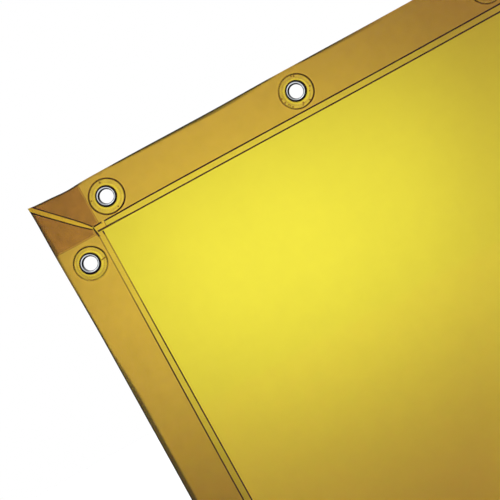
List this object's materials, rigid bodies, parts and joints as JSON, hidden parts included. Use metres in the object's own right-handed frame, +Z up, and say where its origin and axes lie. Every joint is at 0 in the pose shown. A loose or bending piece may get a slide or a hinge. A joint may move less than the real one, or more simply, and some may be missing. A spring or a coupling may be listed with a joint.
{
  "type": "welding curtain screen",
  "caption": "Transparent yellow film welding curtain with folded, mitred, heat-sealed hems and reinforced metal eyelets along its top and sides, for hanging as a weld screen.",
  "frame": {"origin": "middle of the top row of eyelets, halfway through the film panel's thickness; the hook line the curtain hangs from", "axes": "+X along the top edge to the right as seen from the hem side, +Y to the back, away from the folded hems, +Z up"},
  "size_m": [1.2192, 0.0035, 1.8288],
  "materials": {
    "tinted_film": "gloss",
    "reinforcing_film": "gloss",
    "eyelet_metal": "polished"
  },
  "bodies": {
    "root": {"corner_tuck_bottom_left": "tinted_film", "corner_tuck_bottom_right": "tinted_film", "corner_tuck_top_left": "tinted_film", "corner_tuck_top_right": "tinted_film", "curtain_film": "tinted_film", "eyelet_disc_left_1": "reinforcing_film", "eyelet_disc_left_2": "reinforcing_film", "eyelet_disc_left_3": "reinforcing_film", "eyelet_disc_left_4": "reinforcing_film", "eyelet_disc_left_5": "reinforcing_film", "eyelet_disc_right_1": "reinforcing_film", "eyelet_disc_right_2": "reinforcing_film", "eyelet_disc_right_3": "reinforcing_film", "eyelet_disc_right_4": "reinforcing_film", "eyelet_disc_right_5": "reinforcing_film", "eyelet_disc_top_1": "reinforcing_film", "eyelet_disc_top_2": "reinforcing_film", "eyelet_disc_top_3": "reinforcing_film", "eyelet_disc_top_4": "reinforcing_film", "eyelet_disc_top_5": "reinforcing_film", "eyelet_disc_top_6": "reinforcing_film", "eyelet_left_1": "eyelet_metal", "eyelet_left_2": "eyelet_metal", "eyelet_left_3": "eyelet_metal", "eyelet_left_4": "eyelet_metal", "eyelet_left_5": "eyelet_metal", "eyelet_right_1": "eyelet_metal", "eyelet_right_2": "eyelet_metal", "eyelet_right_3": "eyelet_metal", "eyelet_right_4": "eyelet_metal", "eyelet_right_5": "eyelet_metal", "eyelet_top_1": "eyelet_metal", "eyelet_top_2": "eyelet_metal", "eyelet_top_3": "eyelet_metal", "eyelet_top_4": "eyelet_metal", "eyelet_top_5": "eyelet_metal", "eyelet_top_6": "eyelet_metal", "eyelet_washer_left_1": "eyelet_metal", "eyelet_washer_left_2": "eyelet_metal", "eyelet_washer_left_3": "eyelet_metal", "eyelet_washer_left_4": "eyelet_metal", "eyelet_washer_left_5": "eyelet_metal", "eyelet_washer_right_1": "eyelet_metal", "eyelet_washer_right_2": "eyelet_metal", "eyelet_washer_right_3": "eyelet_metal", "eyelet_washer_right_4": "eyelet_metal", "eyelet_washer_right_5": "eyelet_metal", "eyelet_washer_top_1": "eyelet_metal", "eyelet_washer_top_2": "eyelet_metal", "eyelet_washer_top_3": "eyelet_metal", "eyelet_washer_top_4": "eyelet_metal", "eyelet_washer_top_5": "eyelet_metal", "eyelet_washer_top_6": "eyelet_metal", "hem_bottom": "tinted_film", "hem_left": "tinted_film", "hem_right": "tinted_film", "hem_top": "tinted_film"}
  },
  "joints": []
}
